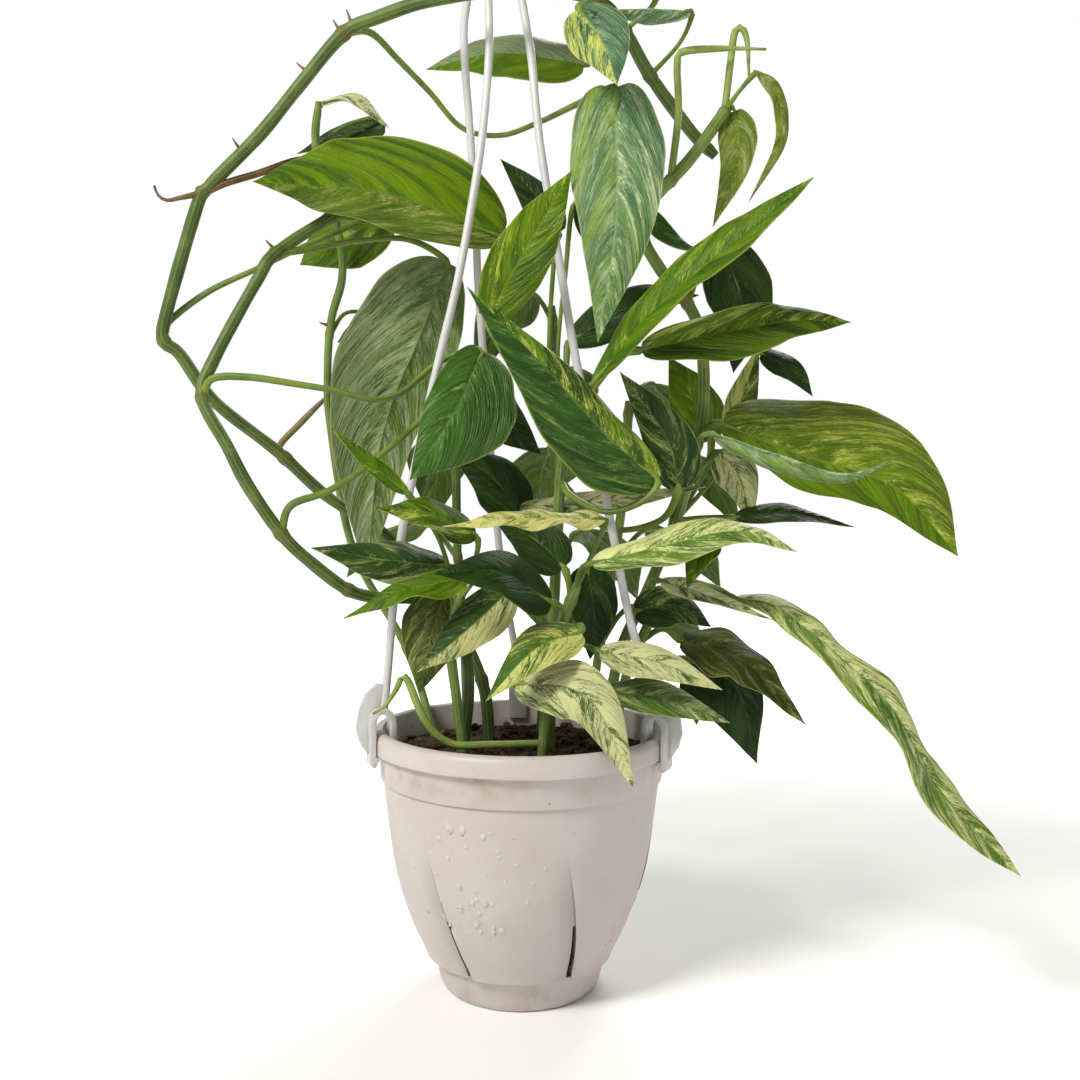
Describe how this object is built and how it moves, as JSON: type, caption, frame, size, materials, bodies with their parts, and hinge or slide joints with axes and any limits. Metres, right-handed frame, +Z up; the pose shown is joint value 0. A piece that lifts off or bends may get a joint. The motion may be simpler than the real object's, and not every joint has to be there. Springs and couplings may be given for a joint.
{
  "type": "potted trailing plant",
  "caption": "Variegated trailing houseplant in a round louvred plastic hanging pot, with soil, leafy stems and a clip-on strand hanger with a top hook.",
  "frame": {"origin": "centre of the pot's flat base", "axes": "+Z up through the pot to the hanger's hook, -Y to the front as pictured, +X to the right"},
  "size_m": [0.471, 0.2754, 0.6692],
  "materials": {
    "pot_plastic": "satin",
    "hanger_plastic": "satin",
    "soil": "rough",
    "leaf": "satin"
  },
  "bodies": {
    "root": {"pot": "pot_plastic", "soil": "soil", "hanger_hook": "hanger_plastic", "strand_left": "hanger_plastic", "strand_right": "hanger_plastic", "strand_back": "hanger_plastic", "vine_inner": "leaf", "vine_outer": "leaf", "stem_left": "leaf", "vine_right": "leaf", "stem_right": "leaf", "stem_front": "leaf", "stem_front_left": "leaf", "stem_centre": "leaf", "stem_back_left": "leaf", "stem_back": "leaf", "stem_back_right": "leaf"}
  },
  "joints": []
}
